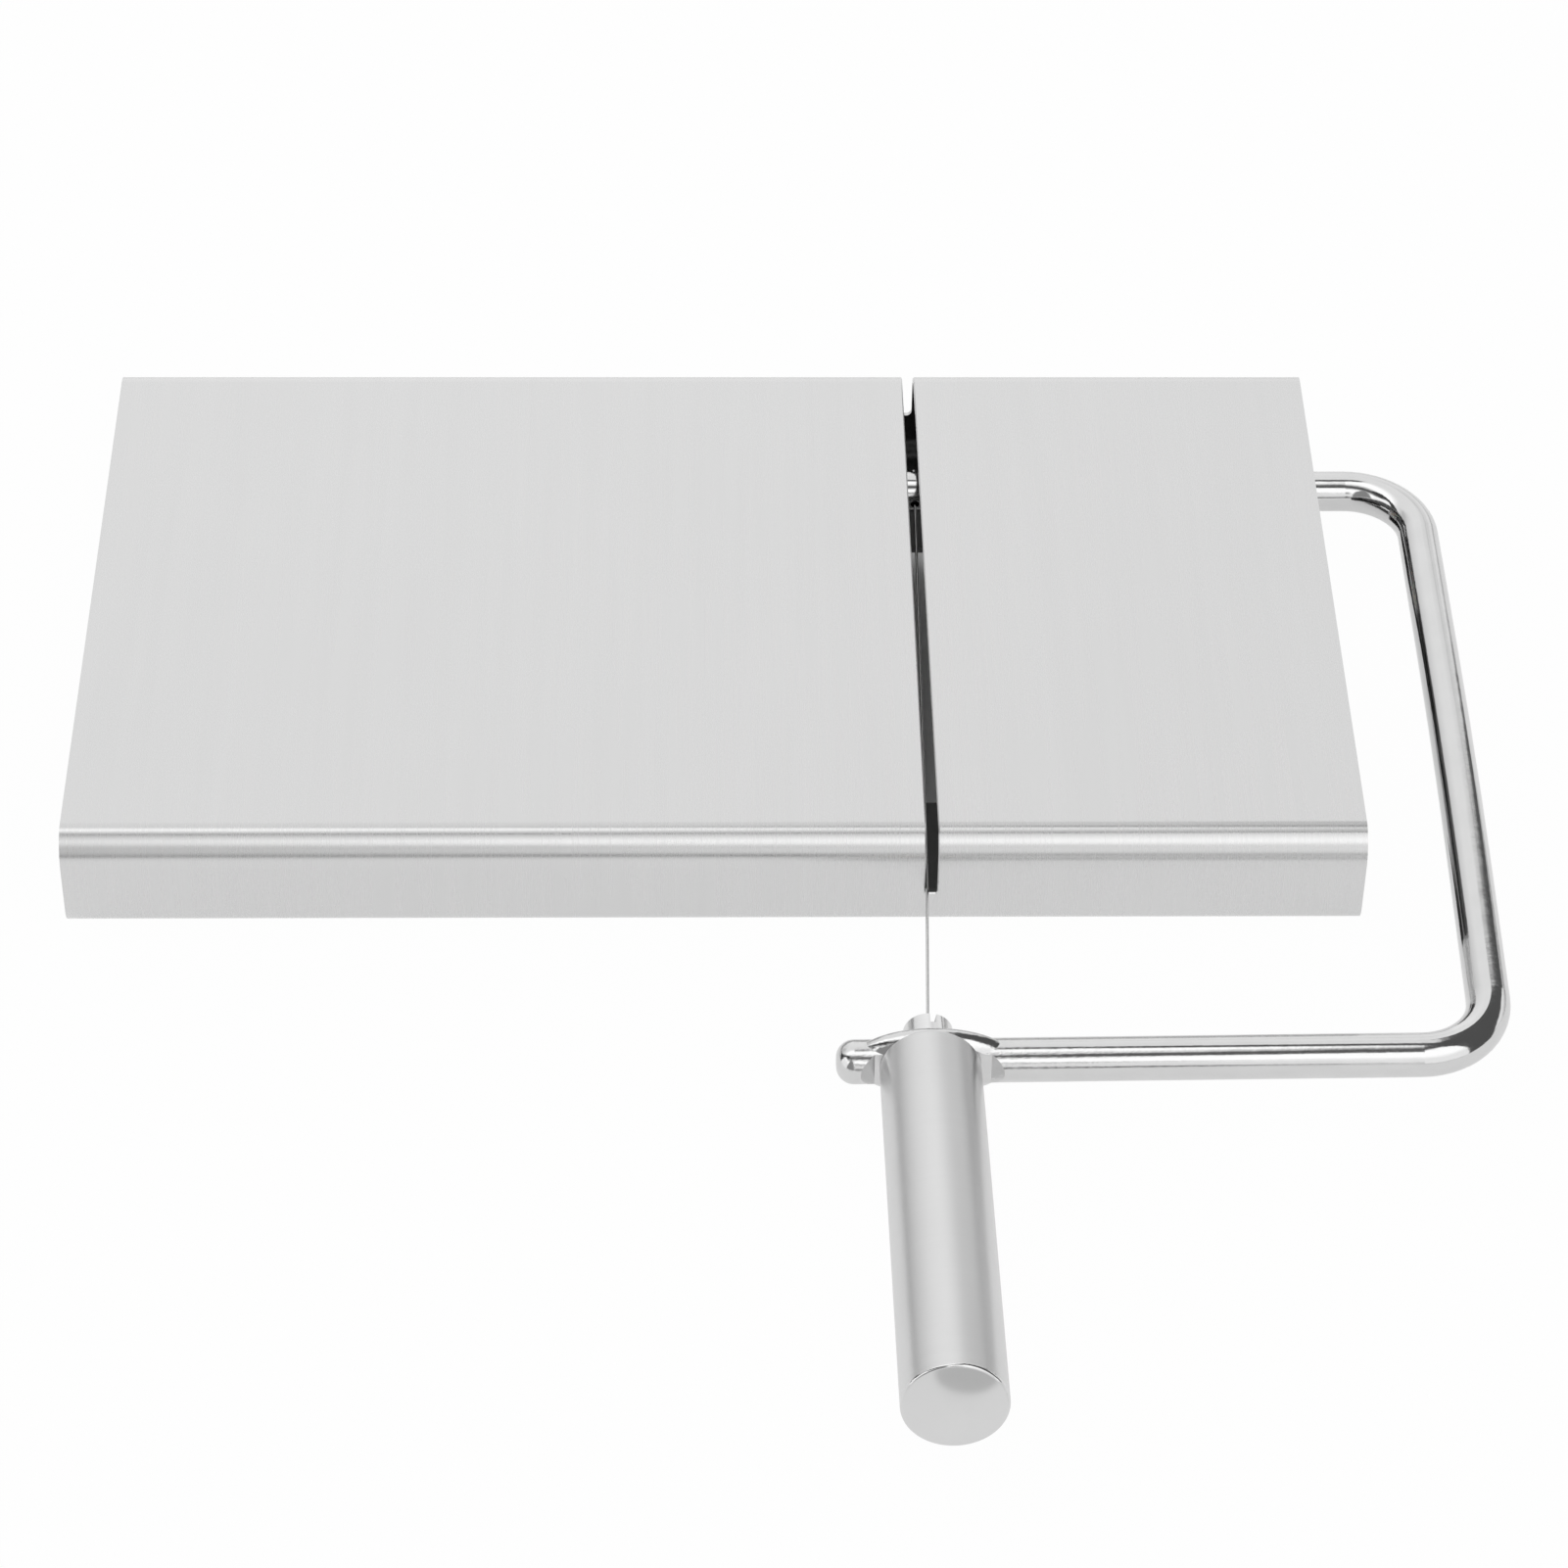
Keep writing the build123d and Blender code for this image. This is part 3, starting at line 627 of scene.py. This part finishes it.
# %% Right panel, and the dark gap above it
LOW = ((0, -20), (180, -20))
panel_light = spread(tree, elevation, 1.08, 1.4, math.radians(22), math.radians(36))
level = zone(level, rightwards,
             lower=LOW,
             upper=((9, 56), (14, 56), (18, 58.5), (25, 62), (33, 66), (46, 70), (54, 71), (58, 68),
                    (66, 60), (70, -30)),
             light=panel_light, start=(7, 12))
level = zone(level, rightwards,
             lower=((9, 59), (20, 60.5), (25, 63), (33, 66), (46, 69), (58, 69)),
             upper=((9, 70), (20, 73), (33, 76), (46, 79), (58, 80)),
             light=0.12, start=(10, 14), blur=2.5)
print("right panel and gap")

# %% Left panel, and the grey room between it and the front
level = zone(level, leftwards,
             lower=LOW,
             upper=((46, -30), (50, 30), (60, 38), (80, 36), (88, 30), (91, -30)),
             light=panel_light)
level = zone(level, leftwards,
             lower=LOW,
             upper=((3, -30), (7, 25), (12, 42), (30, 55), (40, 45), (46, 20), (49, -30)),
             light=0.3)
print("left panel and grey room")

# %% Open sides
level = zone(level, rightwards,
             lower=((0, -5), (85, -3), (92, 5), (97, 12), (105, 17), (115, 19), (125, 21), (130, 16),
                    (133, 5), (135, -3), (136, -12), (136.8, -12), (137.3, 12), (137.8, 18), (140, 25),
                    (142, 29), (144, 32), (147, 36), (150, 39), (157, 44), (165, 52), (170, 60), (180, 70)),
             upper=((54, -30), (57, 0), (60, 30), (62, 50), (64, 64), (68, 74), (80, 77), (100, 77),
                    (117, 76), (127, 73), (140, 69), (150, 64), (157, 60), (167, 51), (172, 40)),
             light=0.1)
level = zone(level, leftwards,
             lower=((0, 80), (52, 60), (60, 45), (70, 42), (80, 40), (88, 33), (92, 15), (96, -10),
                    (180, -10)),
             upper=((48, 55), (55, 62), (70, 62), (80, 58), (90, 48), (100, 34), (110, 20), (120, 12),
                    (128, 7), (132, 5), (135, -20), (180, -20)),
             light=0.06)
print("open on both sides")

# %% Sky
rays = add(tree, "ShaderNodeLightPath")
strength = between(tree, rays.outputs["Is Camera Ray"], level, 1.0)
sky = add(tree, "ShaderNodeBackground", {"Color": (1, 1, 1, 1), "Strength": strength})
add(tree, "ShaderNodeOutputWorld", {"Surface": sky.outputs["Background"]})
print("white for the camera, the tent for everything else")
